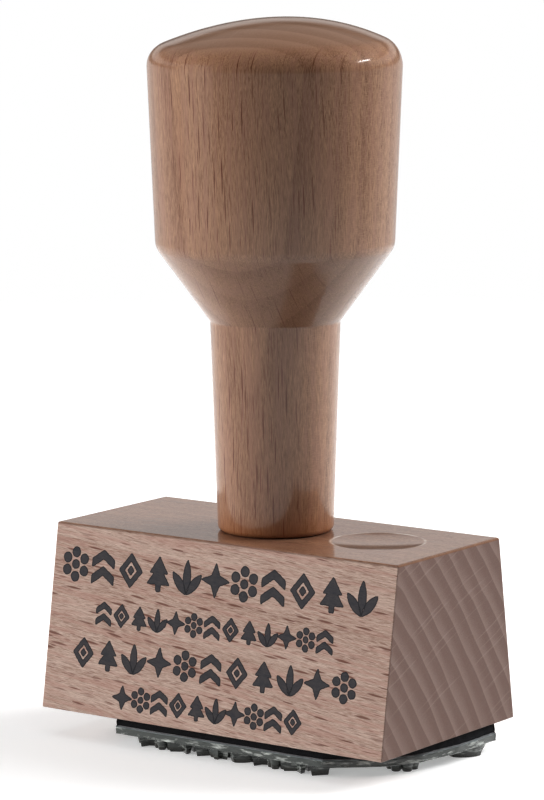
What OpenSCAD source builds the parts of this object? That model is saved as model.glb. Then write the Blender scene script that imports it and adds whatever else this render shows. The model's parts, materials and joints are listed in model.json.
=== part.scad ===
// Hand stamp: a turned beech handle screwed to a beech block, with a foam
// cushion and a relief printing plate stuck to the underside of the block.
// Millimetres, +Z up. The origin is in the printing plane, under the centre
// of the block. X runs along the block, and the side that carries the printed
// impression faces -Y.

/* [Block] */
// Length of the block along X
block_w = 60; // [60:1:80]
// Depth of the block at its underside
block_bottom_d = 34; // [32:0.5:40]
// Depth of the block at its lacquered top
block_top_d = 25.8; // [22:0.2:30]
// Height of the block
block_h = 27; // [22:0.5:32]
// Bevel along the two end edges of the top
end_bevel = 0.6; // [0.2:0.1:1.2]

/* [Finger rest] */
// Width of the shallow hollow that shows the upright side
rest_d = 13.5; // [10:0.5:15]
// Depth of the hollow
rest_depth = 0.4; // [0.3:0.1:1.2]
// Distance of the hollow's centre from the middle of the block
rest_x = 17.4; // [16:0.2:18]

/* [Handle] */
// Height of the handle above the block
handle_h = 73.8; // [68:0.2:80]
// Radius of the shank at its foot
foot_r = 8.36; // [7.5:0.02:9]
// Radius of the shank where it meets the flare
neck_r = 9.35; // [9:0.05:10]
// Height of the neck above the block
neck_z = 30.45; // [28:0.05:32]
// Radius of the grip at its lower edge
grip_low_r = 17.13; // [16:0.01:18]
// Height of the grip's lower edge above the block
grip_low_z = 41.15; // [40:0.05:44]
// Radius of the grip at the shoulder
grip_top_r = 18.3; // [18:0.05:19]
// Radius of the domed top
dome_r = 40; // [36:1:60]
// Rounding between the grip and the dome
shoulder_r = 4; // [2:0.5:5]

/* [Cushion and printing plate] */
// Height of the raised marks
relief_h = 1.5; // [0.8:0.1:1.8]
// Thickness of the plate's floor
floor_t = 1.0; // [0.6:0.1:1.4]
// Thickness of the polyester film that backs the plate
film_t = 0.15; // [0.1:0.05:0.3]
// Thickness of each adhesive tape
tape_t = 0.1; // [0.05:0.05:0.2]
// Thickness of the foam cushion
foam_t = 1.4; // [1:0.1:3]
// How far the rows of marks sit off the middle of the block
rows_x = 1.4; // [0:0.1:1.8]

/* [Screw] */
// Length of the wood screw
screw_len = 45; // [40:1:48]
// Outer diameter of the screw's thread
thread_d = 5; // [4:0.5:5]
// Diameter of the countersunk head
head_d = 9.5; // [8:0.5:10]

/* [Hidden] */

beech = "burlywood";
lacquered_beech = "peru";

// Heights of the layers above the printing plane.
floor_z = relief_h;
film_z = floor_z + floor_t;
lower_tape_z = film_z + film_t;
foam_z = lower_tape_z + tape_t;
upper_tape_z = foam_z + foam_t;
block_z = upper_tape_z + tape_t;
handle_z = block_z + block_h;

rest_y = 0.6;

// ---- Wood screw and its holes ----
// The head lies a little below the block's underside, under the tape.
head_sink = 0.6;
screw_head_z = block_z + head_sink;
head_rim = 0.3;
seat_gap = 0.05;
core_r = 1.65;
plain_r = 1.9;
head_h = head_rim + head_d / 2 - plain_r;
thread_start = 21;
thread_pitch = 2.2;
thread_turns = 9;
thread_flank = 0.55;
thread_end = thread_start + thread_pitch * thread_turns;
cross_w = 1.3;
cross_span = 4.6;
cross_depth = 1.9;
clearance_r = thread_d / 2 + 0.1;
pilot_depth = screw_len + head_sink - block_h + 1;

// ---- Turned profile of the handle, as [radius, height above the foot] ----
foot_round = 0.9;
neck_round = 0.8;
grip_round = 3;
arc_steps = 10;

function unit(v) = v / norm(v);

// Points of an arc of the given radius that rounds the corner b of the path a, b, c.
function rounded_corner(a, b, c, radius) =
    let (
        to_a = unit(a - b),
        to_c = unit(c - b),
        half = acos(to_a * to_c) / 2,
        centre = b + unit(to_a + to_c) * radius / sin(half),
        from = b + to_a * radius / tan(half) - centre,
        to = b + to_c * radius / tan(half) - centre,
        sweep = 180 - 2 * half,
        side = sign(from[0] * to[1] - from[1] * to[0])
    )
    [for (i = [0:arc_steps])
        let (turn = side * sweep * i / arc_steps)
        centre + [from[0] * cos(turn) - from[1] * sin(turn),
                  from[0] * sin(turn) + from[1] * cos(turn)]];

// The shoulder is an arc tangent to the grip's side and to the inside of the dome.
dome_centre_z = handle_h - dome_r;
shoulder_z = handle_h - 4.5;
grip_slope = (grip_top_r - grip_low_r) / (shoulder_z - grip_low_z);
grip_axis_r = grip_low_r - grip_slope * grip_low_z;
side_angle = atan(grip_slope);
inner_r = grip_axis_r - shoulder_r / cos(side_angle);
quad_a = 1 + grip_slope * grip_slope;
quad_b = 2 * (grip_slope * inner_r - dome_centre_z);
quad_c = inner_r * inner_r + dome_centre_z * dome_centre_z - pow(dome_r - shoulder_r, 2);
shoulder_centre_z = (-quad_b + sqrt(quad_b * quad_b - 4 * quad_a * quad_c)) / (2 * quad_a);
shoulder_centre = [inner_r + grip_slope * shoulder_centre_z, shoulder_centre_z];
dome_angle = atan2(shoulder_centre[1] - dome_centre_z, shoulder_centre[0]);

function shoulder_arc() =
    [for (i = [0:arc_steps])
        let (a = -side_angle + (dome_angle + side_angle) * i / arc_steps)
        shoulder_centre + shoulder_r * [cos(a), sin(a)]];

function dome_arc() =
    [for (i = [1:arc_steps])
        let (a = dome_angle + (90 - dome_angle) * i / arc_steps)
        [max(0, dome_r * cos(a)), dome_centre_z + dome_r * sin(a)]];

foot = [foot_r, 0];
neck = [neck_r, neck_z];
grip_edge = [grip_low_r, grip_low_z];
grip_top = [grip_top_r, shoulder_z];

handle_profile = concat(
    [[0, 0]],
    rounded_corner([0, 0], foot, neck, foot_round),
    rounded_corner(foot, neck, grip_edge, neck_round),
    rounded_corner(neck, grip_edge, grip_top, grip_round),
    shoulder_arc(),
    dome_arc()
);

// ---- Printing plate, seen from above ----
// Outline that the plate, its film, the foam and the tapes are trimmed to by hand.
trim_outline = [[-18.1, -15.2], [18.8, -15.2], [25.6, -9.3], [28.4, -4.2],
                [29.6, 3.5], [29.7, 13.2], [-26.9, 13.4], [-27, 4.6],
                [-24.6, 4.1], [-24.5, -6.2], [-18.3, -6.6]];

// Rows of raised marks, front to back: [centre y, mark height, spacing, count, first kind].
mark_rows = [[-12.6, 3.6, 3.35, 10, 3],
             [-3.5, 4.4, 4.6, 11, 0],
             [2.5, 3.4, 3.25, 13, 1],
             [8.7, 5.0, 5.05, 11, 2]];
mark_kinds = 6;
kind_step = 5;
round_fn = 24;

// ================= Sub-parts =================

module handle() {
    color(lacquered_beech)
    translate([0, 0, handle_z])
    difference() {
        rotate_extrude($fn = 96) polygon(handle_profile);
        translate([0, 0, -1]) cylinder(h = pilot_depth + 1, r = core_r, $fn = 48);
    }
}

// Side view of the countersunk wood screw from the face of its head, turned about Z.
module screw_profile() {
    polygon(concat(
        [[0, 0], [head_d / 2, 0], [head_d / 2, head_rim], [plain_r, head_h],
         [plain_r, thread_start - 1], [core_r, thread_start]],
        [for (turn = [0:thread_turns - 1])
            let (z = thread_start + thread_pitch * (turn + 0.5))
            each [[core_r, z - thread_flank], [thread_d / 2, z], [core_r, z + thread_flank]]],
        [[core_r, thread_end], [0, screw_len]]
    ));
}

module handle_screw() {
    color("silver")
    translate([0, 0, screw_head_z])
    difference() {
        rotate_extrude($fn = 48) screw_profile();
        for (turn = [0, 90])
            rotate([0, 0, turn])
            translate([-cross_span / 2, -cross_w / 2, -1])
            cube([cross_span, cross_w, cross_depth + 1]);
    }
}

// Cross-section of the block in Y and Z.
module block_section() {
    polygon([[-block_bottom_d / 2, 0], [block_bottom_d / 2, 0],
             [block_top_d / 2, block_h], [-block_top_d / 2, block_h]]);
}

module end_bevel_cut(side) {
    translate([side * block_w / 2, 0, block_h])
    rotate([0, 45, 0])
    cube([end_bevel * sqrt(2), block_bottom_d, end_bevel * sqrt(2)], center = true);
}

module finger_rest_cut() {
    ball_r = (pow(rest_d / 2, 2) + pow(rest_depth, 2)) / (2 * rest_depth);
    translate([rest_x, rest_y, block_h - rest_depth + ball_r]) sphere(r = ball_r, $fn = 240);
}

module screw_hole_cut() {
    seat_r = head_d / 2 + seat_gap;
    seat_z = head_sink + head_rim;
    rotate_extrude($fn = 48)
        polygon([[0, -1], [seat_r, -1], [seat_r, seat_z],
                 [clearance_r, seat_z + seat_r - clearance_r],
                 [clearance_r, block_h + 1], [0, block_h + 1]]);
}

module mount_block() {
    color(beech)
    translate([0, 0, block_z])
    difference() {
        translate([-block_w / 2, 0, 0])
            rotate([90, 0, 90]) linear_extrude(height = block_w) block_section();
        for (side = [-1, 1]) end_bevel_cut(side);
        finger_rest_cut();
        screw_hole_cut();
    }
}

// A flat layer with the trimmed outline.
module trimmed_layer(thickness) {
    linear_extrude(height = thickness) polygon(trim_outline);
}

module cushion_tape_upper() {
    color("ivory") translate([0, 0, upper_tape_z]) trimmed_layer(tape_t);
}

module cushion_foam() {
    color("dimgray") translate([0, 0, foam_z]) trimmed_layer(foam_t);
}

module cushion_tape_lower() {
    color("ivory") translate([0, 0, lower_tape_z]) trimmed_layer(tape_t);
}

module plate_backing_film() {
    color("lightgray") translate([0, 0, film_z]) trimmed_layer(film_t);
}

// ---- The six kinds of raised ornament, each h high and centred on the origin ----

module diamond(h) {
    polygon([[0, -h / 2], [0.42 * h, 0], [0, h / 2], [-0.42 * h, 0]]);
}

module framed_diamond(h) {
    difference() {
        diamond(h);
        diamond(0.56 * h);
    }
    diamond(0.28 * h);
}

module stacked_chevrons(h) {
    for (y = [-h / 2, -0.02 * h])
        translate([0, y])
        polygon([[-0.4 * h, 0], [0, 0.27 * h], [0.4 * h, 0],
                 [0.4 * h, 0.25 * h], [0, 0.52 * h], [-0.4 * h, 0.25 * h]]);
}

module rosette(h) {
    circle(r = 0.13 * h, $fn = round_fn);
    for (petal = [0:5])
        rotate(60 * petal) translate([0, 0.355 * h]) circle(r = 0.145 * h, $fn = round_fn);
}

module four_point_star(h) {
    polygon([for (i = [0:7])
        let (r = i % 2 == 0 ? 0.5 * h : 0.2 * h)
        [r * sin(45 * i), r * cos(45 * i)]]);
}

// A leaf that stands on the origin.
module leaf(length, half_width) {
    side_r = (pow(length / 2, 2) + pow(half_width, 2)) / (2 * half_width);
    intersection() {
        translate([side_r - half_width, length / 2]) circle(r = side_r, $fn = round_fn);
        translate([half_width - side_r, length / 2]) circle(r = side_r, $fn = round_fn);
    }
}

module leaf_sprig(h) {
    translate([0, -h / 2]) {
        for (lean = [-40, 0, 40])
            rotate(lean) leaf(lean == 0 ? h : 0.8 * h, 0.13 * h);
        translate([0, 0.05 * h]) circle(r = 0.08 * h, $fn = round_fn);
    }
}

module fir_tree(h) {
    polygon(h * [[-0.08, -0.5], [0.08, -0.5], [0.08, -0.3], [0.4, -0.3],
                 [0.17, 0.02], [0.32, 0.02], [0, 0.5], [-0.32, 0.02],
                 [-0.17, 0.02], [-0.4, -0.3], [-0.08, -0.3]]);
}

module mark(kind, h) {
    if (kind == 0) framed_diamond(h);
    if (kind == 1) stacked_chevrons(h);
    if (kind == 2) rosette(h);
    if (kind == 3) four_point_star(h);
    if (kind == 4) leaf_sprig(h);
    if (kind == 5) fir_tree(h);
}

module mark_row(centre_y, h, spacing, count, first_kind) {
    for (i = [0:count - 1])
        translate([rows_x + (i - (count - 1) / 2) * spacing, centre_y])
        mark((first_kind + i * kind_step) % mark_kinds, h);
}

module relief_plate() {
    color("darkseagreen") {
        translate([0, 0, floor_z]) trimmed_layer(floor_t);
        linear_extrude(height = relief_h)
            for (row = mark_rows) mark_row(row[0], row[1], row[2], row[3], row[4]);
    }
}

handle();
handle_screw();
mount_block();
cushion_tape_upper();
cushion_foam();
cushion_tape_lower();
plate_backing_film();
relief_plate();
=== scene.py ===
"""Looks of a wooden hand stamp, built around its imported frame.

A turned and lacquered beech handle stands on a beech block. The block carries a
printed impression on its front face and, underneath, a foam cushion with a trimmed
photopolymer plate. Lengths are written in millimetres and become metres in the mesh.
"""

import json
import logging
import math
from dataclasses import dataclass
from enum import Enum

import bmesh
import bpy
from mathutils import Matrix, Vector, noise
from mathutils.geometry import tessellate_polygon

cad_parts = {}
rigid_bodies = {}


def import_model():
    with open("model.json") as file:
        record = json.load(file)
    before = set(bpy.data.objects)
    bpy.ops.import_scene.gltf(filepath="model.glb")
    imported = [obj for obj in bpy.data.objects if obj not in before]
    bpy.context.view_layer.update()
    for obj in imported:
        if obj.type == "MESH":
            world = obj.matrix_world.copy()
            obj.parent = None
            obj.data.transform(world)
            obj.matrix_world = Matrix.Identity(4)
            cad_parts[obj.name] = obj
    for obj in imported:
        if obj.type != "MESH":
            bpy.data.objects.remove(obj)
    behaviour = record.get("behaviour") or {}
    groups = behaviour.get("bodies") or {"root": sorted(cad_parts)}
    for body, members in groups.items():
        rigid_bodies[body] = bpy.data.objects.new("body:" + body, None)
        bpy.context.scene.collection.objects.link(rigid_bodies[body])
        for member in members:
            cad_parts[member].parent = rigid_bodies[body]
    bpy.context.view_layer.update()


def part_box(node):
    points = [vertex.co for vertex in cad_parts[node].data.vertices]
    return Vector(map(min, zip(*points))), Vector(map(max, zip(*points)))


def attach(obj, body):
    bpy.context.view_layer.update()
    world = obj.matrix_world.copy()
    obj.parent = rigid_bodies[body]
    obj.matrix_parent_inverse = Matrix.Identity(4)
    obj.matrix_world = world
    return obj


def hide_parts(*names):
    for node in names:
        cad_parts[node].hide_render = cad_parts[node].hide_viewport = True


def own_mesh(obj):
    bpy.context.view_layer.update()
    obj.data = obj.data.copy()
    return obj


log = logging.getLogger("stamp")

MM = 0.001
Point2 = tuple[float, float]
Point3 = tuple[float, float, float]
Socket = bpy.types.NodeSocket
Mesh = bpy.types.Mesh
Shape = bmesh.types.BMesh
Material = bpy.types.Material


class Body(Enum):
    """The two rigid bodies that the frame moves."""

    STAMP = "stamp_body"
    DIE = "printing_die"


class Slot(Enum):
    """The record's material slots of the nodes that new pieces stand for."""

    HANDLE = "lacquered_beech_handle"
    BLOCK = "beech_block"
    STEEL = "zinc_plated_steel"
    TAPE = "adhesive_tape"
    FOAM = "black_foam"
    FILM = "polyester_film"
    POLYMER = "photopolymer"


class Ornament(Enum):
    """The six generic ornaments, in the order in which a row takes them."""

    FRAMED_DIAMOND = 0
    CHEVRONS = 1
    ROSETTE = 2
    STAR = 3
    SPRIG = 4
    FIR = 5


class MarkForm(Enum):
    """What a row of ornaments is made of."""

    INKED = "inked"
    RAISED = "raised"


# Small tools


def linear(code: str) -> tuple[float, float, float, float]:
    """Turn an sRGB hex colour into the linear RGBA that shaders take.

    Args:
        code: Six hex digits with a leading hash.

    Returns:
        Linear red, green and blue, and an alpha of 1.
    """
    parts = [int(code[i : i + 2], 16) / 255 for i in (1, 3, 5)]
    parts = [c / 12.92 if c <= 0.04045 else ((c + 0.055) / 1.055) ** 2.4 for c in parts]
    return (*parts, 1.0)


def new_object(name: str, data: bpy.types.ID) -> bpy.types.Object:
    """Put a mesh, lamp or camera into the scene as an object at the origin.

    Args:
        name: The object's name, which its data takes too.
        data: The finished data; a mesh is in metres.

    Returns:
        The linked object.
    """
    data.name = name
    thing = bpy.data.objects.new(name, data)
    bpy.context.scene.collection.objects.link(thing)
    return thing


def shape_of(*meshes: Mesh) -> Shape:
    """Join meshes in one editable shape."""
    shape = bmesh.new()
    for mesh in meshes:
        shape.from_mesh(mesh)
    return shape


def settle(shape: Shape, mesh: Mesh | str) -> Mesh:
    """Write a shape into a mesh, or into a new mesh of a name, and free the shape."""
    mesh = bpy.data.meshes.new(mesh) if isinstance(mesh, str) else mesh
    shape.to_mesh(mesh)
    shape.free()
    return mesh


def mesh_from(shape: Shape, name: str) -> Mesh:
    """Weld a shape in millimetres, point its faces outwards and turn it into a mesh in metres."""
    bmesh.ops.remove_doubles(shape, verts=shape.verts, dist=1e-5)
    bmesh.ops.recalc_face_normals(shape, faces=shape.faces)
    bmesh.ops.scale(shape, vec=(MM,) * 3, verts=shape.verts)
    return settle(shape, name)


def evaluated(thing: bpy.types.Object) -> Mesh:
    """Give the mesh that an object's modifiers make, and delete the object."""
    graph = bpy.context.evaluated_depsgraph_get()
    mesh = bpy.data.meshes.new_from_object(thing.evaluated_get(graph))
    bpy.data.objects.remove(thing)
    return mesh


def shade(mesh: Mesh, angle: float) -> None:
    """Smooth a mesh, and keep edges that are sharper than an angle in degrees crisp."""
    mesh.shade_smooth()
    mesh.set_sharp_from_angle(angle=math.radians(angle))


def weigh(mesh: Mesh) -> Mesh:
    """Let big flat faces keep their own normals next to small rounded ones."""
    thing = new_object("weighed", mesh)
    modifier = thing.modifiers.new("weighed", "WEIGHTED_NORMAL")
    modifier.mode, modifier.weight, modifier.keep_sharp = "FACE_AREA", 100, True
    return evaluated(thing)


def cut(mesh: Mesh, tools: list[Mesh]) -> Mesh:
    """Cut closed shapes out of a mesh.

    Args:
        mesh: The mesh to cut.
        tools: Closed meshes in the same frame.

    Returns:
        What is left.
    """
    thing = new_object("cut", mesh)
    helpers = [new_object(f"cutter_{i}", tool) for i, tool in enumerate(tools)]
    for helper in helpers:
        modifier = thing.modifiers.new(helper.name, "BOOLEAN")
        modifier.operation, modifier.solver, modifier.object = "DIFFERENCE", "EXACT", helper
    mesh = evaluated(thing)
    for helper in helpers:
        bpy.data.objects.remove(helper)
    return mesh


def wall(shape: Shape, rings: list[list]) -> None:
    """Close the side between rings of as many vertices each."""
    for below, above in zip(rings, rings[1:]):
        for i in range(len(below)):
            k = (i + 1) % len(below)
            shape.faces.new((below[i], below[k], above[k], above[i]))


def arc(centre: Point2, radius: float, start: float, end: float, steps: int) -> list[Point2]:
    """Points along an arc.

    Args:
        centre: The arc's centre.
        radius: The arc's radius.
        start: First angle, in degrees.
        end: Last angle, in degrees.
        steps: How many pieces the arc is cut into.

    Returns:
        The points, both ends included.
    """
    turns = [math.radians(start + (end - start) * i / steps) for i in range(steps + 1)]
    return [(centre[0] + radius * math.cos(a), centre[1] + radius * math.sin(a)) for a in turns]


def rounded(before: Point2, corner: Point2, after: Point2, radius: float, steps: int = 8) -> list[Point2]:
    """Round a corner of a path with an arc that is tangent to both of its sides.

    Args:
        before: The path's point before the corner.
        corner: The corner.
        after: The path's point after the corner.
        radius: The rounding's radius.
        steps: How many pieces the arc is cut into.

    Returns:
        The arc's points, from the side of before to the side of after.
    """
    tip = Vector(corner)
    back, ahead = (Vector(before) - tip).normalized(), (Vector(after) - tip).normalized()
    half = back.angle(ahead) / 2
    centre = tip + (back + ahead).normalized() * radius / math.sin(half)
    start = tip + back * radius / math.tan(half) - centre
    end = tip + ahead * radius / math.tan(half) - centre
    sweep = math.degrees(start.angle_signed(end)) * -1
    first = math.degrees(math.atan2(start.y, start.x))
    return arc(tuple(centre), radius, first, first + sweep, steps)


class Tree:
    """A node tree in the making."""

    def __init__(self, tree: bpy.types.NodeTree) -> None:
        """Go on with a tree."""
        self.tree = tree

    def feed(self, node: bpy.types.Node, inputs: dict) -> None:
        """Set a node's inputs.

        Args:
            node: The node.
            inputs: Input name or number to a value, to a hex colour, or to the sockets that feed it.
        """
        for key, value in inputs.items():
            for one in value if isinstance(value, list) else [value]:
                if isinstance(one, Socket):
                    self.tree.links.new(one, node.inputs[key])
                else:
                    coloured = isinstance(one, str) and one.startswith("#")
                    node.inputs[key].default_value = linear(one) if coloured else one

    def add(self, kind: str, *values, out: int | str = 0, **named) -> Socket:
        """Add one node, set it up and link it.

        Args:
            kind: The node's type without its family, then its operation if it has one.
            *values: Its first inputs, in their order.
            out: The output that the caller goes on with.
            **named: With a capital, further inputs, whose names have _ for a space. Without one,
                the node's own properties.

        Returns:
            The chosen output socket. Its node attribute leads to the others.
        """
        kind, _, operation = kind.partition(" ")
        family = "Shader" if hasattr(bpy.types, f"ShaderNode{kind}") else "Geometry"
        node = self.tree.nodes.new(f"{family}Node{kind}")
        if operation:
            node.operation = operation
        for name, value in named.items():
            if name[0].islower():
                setattr(node, name, value)
        inputs = {name.replace("_", " "): value for name, value in named.items() if name[0].isupper()}
        self.feed(node, {**dict(enumerate(values)), **inputs})
        return node.outputs[out]


class NodeShape(Tree):
    """A Geometry Nodes tree with named inputs, and the mesh that it makes."""

    def __init__(self, name: str) -> None:
        """Start the tree with its geometry input."""
        super().__init__(bpy.data.node_groups.new(name, "GeometryNodeTree"))
        self.source = self.tree.nodes.new("NodeGroupInput")
        self.geometry = self.ask("Geometry", "Geometry")

    def ask(self, name: str, kind: str) -> Socket:
        """Add a named input of a socket type such as Float, and return its socket."""
        self.tree.interface.new_socket(name, in_out="INPUT", socket_type=f"NodeSocket{kind}")
        return self.source.outputs[name]

    def end(self, geometry: Socket, material: Socket) -> None:
        """Close the tree with Realize Instances and Set Material."""
        self.tree.interface.new_socket("Geometry", in_out="OUTPUT", socket_type="NodeSocketGeometry")
        real = self.add("RealizeInstances", geometry)
        dressed = self.add("SetMaterial", real, Material=material)
        self.feed(self.tree.nodes.new("NodeGroupOutput"), {0: dressed})

    def make(self, mesh: Mesh, values: dict) -> Mesh:
        """Run the tree on a mesh.

        Args:
            mesh: What goes into the tree's geometry input.
            values: Input name to its value.

        Returns:
            The plain mesh that comes out.
        """
        thing = new_object(self.tree.name, mesh)
        modifier = thing.modifiers.new(self.tree.name, "NODES")
        modifier.node_group = self.tree
        for item in self.tree.interface.items_tree:
            if item.in_out == "INPUT" and item.name in values:
                modifier[item.identifier] = values[item.name]
        return evaluated(thing)


class Paint(Tree):
    """A material in the making."""

    def __init__(self, name: str) -> None:
        """Start the material with its shader and the place on the piece, in metres."""
        self.material = bpy.data.materials.new(name)
        self.material.use_nodes = True
        super().__init__(self.material.node_tree)
        self.place = self.add("TexCoord", out="Object")
        self.height = self.add("SeparateXYZ", self.place, out="Z")

    def layered(self, base: Socket | str, layers: list[tuple[Socket, Socket | str]]) -> Socket:
        """Lay tints over a colour.

        Args:
            base: The colour under them.
            layers: For each layer from below, how much of it there is, and its tint.

        Returns:
            The mixed colour.
        """
        for share, tint in layers:
            mix = self.add("Mix", share, out=2, data_type="RGBA")
            self.feed(mix.node, {6: base, 7: tint})
            base = mix
        return base

    def relief(self, height: Socket, strength: float, lift: float) -> Socket:
        """Raise the surface by up to a lift in millimetres where a height is 1."""
        return self.add("Bump", Height=height, Strength=strength, Distance=lift * MM)

    def finish(self, inputs: dict) -> Material:
        """Set the shader's inputs by name, and give the material."""
        self.feed(self.tree.nodes["Principled BSDF"], inputs)
        return self.material


# Finishes


class Surface(Enum):
    """How a piece of beech was finished."""

    SANDED = "sanded"
    LACQUERED = "lacquered"


@dataclass(frozen=True)
class Rays:
    """One size of wood ray: a thin upright blade that runs from the pith to the bark.

    Sizes are outward, sideways and along the fibre, in millimetres.
    """

    # The room that one ray has, half of its own size, and the share of rooms that stay empty.
    cell: Point3
    half: Point3
    empty: float


@dataclass(frozen=True)
class Beech:
    """Steamed European beech, sawn or turned, bare or under clear lacquer.

    The grain is one solid pattern, so every cut shows its own figure: short dark
    ray flecks where the face looks towards the bark, faint ripples where it is
    parallel to the rays, and ring bands crossed by pale ray lines on end grain.
    """

    name: str
    surface: Surface
    # Unit vectors of the piece: along the fibres, and out from the pith.
    fibre: Point3
    outward: Point3
    # Where the pattern starts, in millimetres, so that no two pieces match.
    start: Point3
    # The wood, its late wood, its rays, its pink stripes, and its end grain with the pale early wood.
    light: str
    dark: str
    ray: str
    blush: str
    end: str
    end_pale: str
    rays: Rays
    small_rays: Rays
    # How strongly the year rings band the long faces, and how strongly fibres streak them.
    banding: float
    streaking: float
    # Height below which the piece is stained, its width, and the stain's colour.
    stain_z: float
    stain_span: float
    stain: str
    # Roughness of the lacquer.
    haze: float = 0.08
    # How strongly the rays ripple the faces that are parallel to them.
    ripple: float = 0.4
    ring_pitch: float = 3.4
    pith_distance: float = 150.0
    # Centre and radius of a hollow's rim in the XY plane, along which a thin pale line of painted highlight
    # lies, and that highlight's colour.
    highlight_rim: Point3 | None = None
    rim_highlight: str = "#e9ddd2"

    def turn(self) -> Matrix:
        """Rows that turn the piece's axes into outward, sideways and along the fibre."""
        out, along = Vector(self.outward).normalized(), Vector(self.fibre).normalized()
        return Matrix((out, along.cross(out), along))

    def grain(self, paint: Paint) -> tuple[Socket, Socket]:
        """Add the solid grain pattern.

        Args:
            paint: The material in the making.

        Returns:
            The wood's colour, and its relief from 0 to 1.
        """
        add = paint.add
        turned = tuple(self.turn().to_euler("XYZ"))
        to_mm = (1 / MM,) * 3
        plain = add("Mapping", paint.place, Location=self.start, Rotation=turned, Scale=to_mm)
        # Fibres wander by under a millimetre over a few centimetres.
        slow = add("VectorMath MULTIPLY", plain, (0.05, 0.05, 0.02))
        drift = add("TexNoise", slow, Scale=1.0, out="Color")
        drift = add("VectorMath ADD", drift, (-0.5, -0.5, -0.5))
        drift = add("VectorMath MULTIPLY", drift, (3.2, 2.4, 0.0))
        spot = add("VectorMath ADD", plain, drift)
        facing = paint.place.node.outputs["Normal"]
        looks = add("Mapping", facing, vector_type="VECTOR", Rotation=turned)
        looks = add("SeparateXYZ", add("VectorMath ABSOLUTE", looks))
        to_bark, to_side, to_end = looks, looks.node.outputs["Y"], looks.node.outputs["Z"]
        late, ring_tone, early = self.rings(paint, plain)
        flecks, small_flecks = (self.ray_size(paint, spot, rays) for rays in (self.rays, self.small_rays))

        fibres, streaks, pores, stripe, ripple, speck = (
            add("TexNoise", add("VectorMath MULTIPLY", where, scale), Detail=detail, Roughness=rough)
            for where, scale, detail, rough in (
                # Fine fibres: lines a fifth of a millimetre wide and several long.
                (spot, (1.8, 2.8, 0.13), 4.0, 0.66),
                (spot, (0.5, 0.9, 0.03), 3.0, 0.55),
                (spot, (6.5, 8.5, 0.5), 2.0, 0.7),
                # Some stripes of wood are pinker than the rest.
                (spot, (0.22, 0.42, 0.015), 1.0, 0.5),
                (spot, (0.30, 0.30, 1.5), 1.0, 0.5),
                (plain, (5.5, 5.5, 0.4), 2.0, 0.7),
            )
        )
        tone = add("Math MULTIPLY_ADD", late, self.banding, 0.40)
        for part, share in ((ring_tone, 0.12), (fibres, self.streaking), (streaks, 0.70), (pores, 0.45)):
            tone = add("Math MULTIPLY_ADD", add("Math SUBTRACT", part, 0.5), share, tone)
        pinker = add("MapRange", stripe, 0.46, 0.62, 0.0, 0.45)
        # End grain drinks light between its pores: darker, greyer, speckled, with a pale early wood.
        end_share = add("Math POWER", to_end, 4.0)
        banded = add("Math MULTIPLY_ADD", speck, 2.2, -1.05)
        banded = add("Math MULTIPLY_ADD", early, 0.85, banded)
        across = paint.layered(self.end, [(banded, self.end_pale)])
        # Flecks are dark where the face looks to the bark and faint on the other long faces.
        to_bark = add("Math MULTIPLY_ADD", add("Math POWER", to_bark, 1.6), 0.90, 0.10)
        both = add("Math MAXIMUM", flecks, add("Math MULTIPLY", small_flecks, 0.6))
        long_face = add("Math SUBTRACT", 1.0, end_share)
        dark = add("Math MULTIPLY", add("Math MULTIPLY", both, to_bark), long_face)
        # Faces parallel to the rays show them as short pale ripples across the fibres.
        ripple = add("MapRange", ripple, 0.54, 0.66, 0.0, self.ripple)
        ripple = add("Math MULTIPLY", ripple, add("MapRange", to_side, 0.72, 0.92))
        # On end grain the rays are thin pale lines across the rings.
        pale = add("Math MULTIPLY", add("Math MULTIPLY", flecks, end_share), 0.09)
        long_layers = [(tone, self.dark), (pinker, self.blush)]
        end_layers = [(add("Math MULTIPLY", end_share, 0.92), across), (dark, self.ray)]
        layers = [*long_layers, *end_layers, (ripple, self.light), (pale, self.light)]
        return paint.layered(self.light, layers), add("Math MULTIPLY_ADD", both, -0.5, fibres)

    def rings(self, paint: Paint, spot: Socket) -> tuple[Socket, Socket, Socket]:
        """Add the year rings.

        Args:
            paint: The material in the making.
            spot: The place in the wood, in millimetres.

        Returns:
            How late in its year the wood is, the year's own tone, and how early the wood is.
        """
        add = paint.add
        out = add("SeparateXYZ", spot)
        bow = add("Math POWER", out.node.outputs["Y"], 2.0)
        bow = add("Math MULTIPLY_ADD", bow, 0.5 / self.pith_distance, out)
        wobble = add("VectorMath MULTIPLY", spot, (0.07, 0.004, 0.003))
        wobble = add("TexNoise", wobble, Detail=1.0)
        depth = add("Math MULTIPLY_ADD", wobble, 1.2, bow)
        years = add("Math DIVIDE", depth, self.ring_pitch)
        season = add("Math FRACT", years)
        rise, fall, sprout = (
            add("MapRange", season, low, high, interpolation_type="SMOOTHSTEP")
            for low, high in ((0.30, 0.95), (1.0, 0.95), (0.0, 0.07))
        )
        late = add("Math MULTIPLY", rise, fall)
        tone = add("TexWhiteNoise", W=add("Math FLOOR", years), noise_dimensions="1D")
        early = add("Math MULTIPLY", add("MapRange", season, 0.65, 0.0), sprout)
        return late, tone, early

    def ray_size(self, paint: Paint, spot: Socket, rays: Rays) -> Socket:
        """Add one size of rays.

        Args:
            paint: The material in the making.
            spot: The place in the wood, in millimetres.
            rays: Their size and spacing.

        Returns:
            1 in a ray and 0 outside, with soft borders.
        """
        add = paint.add
        scaled = add("VectorMath MULTIPLY", spot, tuple(1 / c for c in rays.cell))
        cells = add("TexVoronoi", scaled, Scale=1.0, out="Position")
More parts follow.
